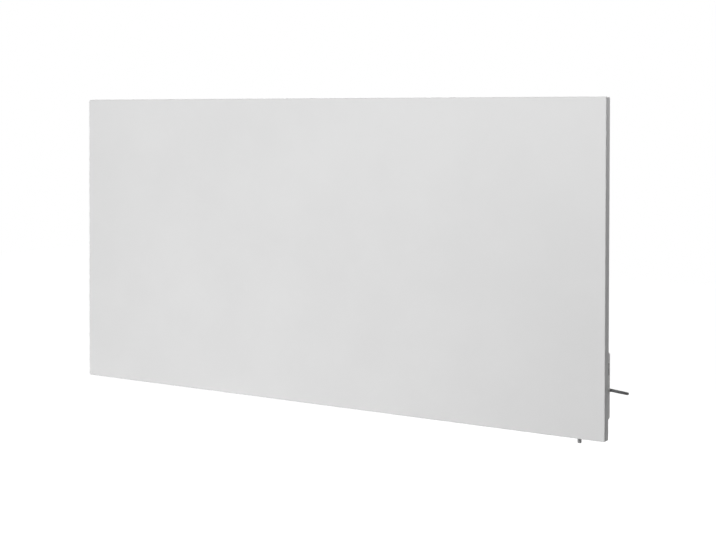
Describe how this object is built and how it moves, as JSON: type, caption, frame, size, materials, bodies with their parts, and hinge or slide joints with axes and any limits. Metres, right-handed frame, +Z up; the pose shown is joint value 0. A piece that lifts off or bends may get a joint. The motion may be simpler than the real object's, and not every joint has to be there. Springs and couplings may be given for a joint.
{
  "type": "infrared panel heater",
  "caption": "Flat wall-hung infrared heater: folded steel panel with a control housing, mains rocker switch, sensor probe, hooked hangers, wall rail and a coiled mains lead with plug.",
  "frame": {"origin": "middle of the wall rail's back face, on the wall, 68 mm behind the panel's front face and 490 mm above its lower edge", "axes": "+X to the right seen from the front, +Y towards the wall, +Z up"},
  "size_m": [1.2248, 0.068, 0.614],
  "materials": {
    "white_powder": "fine matt powder coat",
    "zinc_sheet": "galvanised sheet",
    "white_moulding": "fine spark texture",
    "black_moulding": "satin moulding",
    "grey_cord": "satin sheath",
    "dark_rubber": "matt rubber",
    "steel": "bright steel",
    "nickel": "nickel plated",
    "foil": "bright foil",
    "carbon_film": "printed carbon film",
    "copper": "bare copper strip",
    "mineral_wool": "loose fibre mat",
    "green_board": "solder-resist lacquer",
    "brown_wire": "insulated wire",
    "blue_wire": "insulated wire",
    "earth_wire": "insulated wire"
  },
  "bodies": {
    "rail": {"wall_rail": "zinc_sheet"},
    "panel": {"front_tray": "white_powder", "back_plate": "white_powder", "heating_film": "carbon_film", "heating_track": "copper", "reflector_foil": "foil", "insulation_mat": "mineral_wool", "thermal_cutout": "nickel", "thermal_fuse": "nickel", "earth_stud": "steel", "wire_live": "brown_wire", "wire_link": "brown_wire", "wire_element": "brown_wire", "wire_neutral": "blue_wire", "wire_earth": "earth_wire", "wire_grommet": "dark_rubber", "housing_base": "white_moulding", "housing_cover": "white_moulding", "cover_screw_1": "steel", "cover_screw_2": "steel", "cover_screw_3": "steel", "cover_screw_4": "steel", "controller_board": "green_board", "relay": "black_moulding", "power_module": "black_moulding", "capacitor": "black_moulding", "terminal_block": "white_moulding", "lead_inside": "grey_cord", "cord_clamp": "white_moulding", "clamp_screw_1": "steel", "clamp_screw_2": "steel", "switch_body": "black_moulding", "switch_blade_1": "nickel", "switch_blade_2": "nickel", "probe_tube": "steel", "probe_bush": "dark_rubber", "probe_lead": "black_moulding", "cord_sleeve": "grey_cord", "cord_lead": "grey_cord", "cord_coil": "grey_cord", "cord_tail": "grey_cord", "cord_tie": "black_moulding", "plug_body": "grey_cord", "plug_pin_1": "nickel", "plug_clip_1": "nickel", "plug_pin_2": "nickel", "plug_clip_2": "nickel", "hanger_left": "zinc_sheet", "spacer_left": "white_moulding", "spacer_foot_left": "dark_rubber", "hanger_right": "zinc_sheet", "spacer_right": "white_moulding", "spacer_foot_right": "dark_rubber", "hanger_screw_1": "steel", "hanger_screw_2": "steel", "hanger_screw_3": "steel", "hanger_screw_4": "steel"},
    "rocker": {"switch_rocker": "black_moulding"}
  },
  "joints": [
    {"name": "panel_lift", "type": "slide", "parent": "rail", "child": "panel", "axis": [0, 0, 1], "range_m": [0, 0.012]},
    {"name": "rocker", "type": "hinge", "parent": "panel", "child": "rocker", "pos_m": [0.5906, -0.0405, -0.368], "axis": [0, -1, 0], "range_deg": [0, 20]}
  ]
}
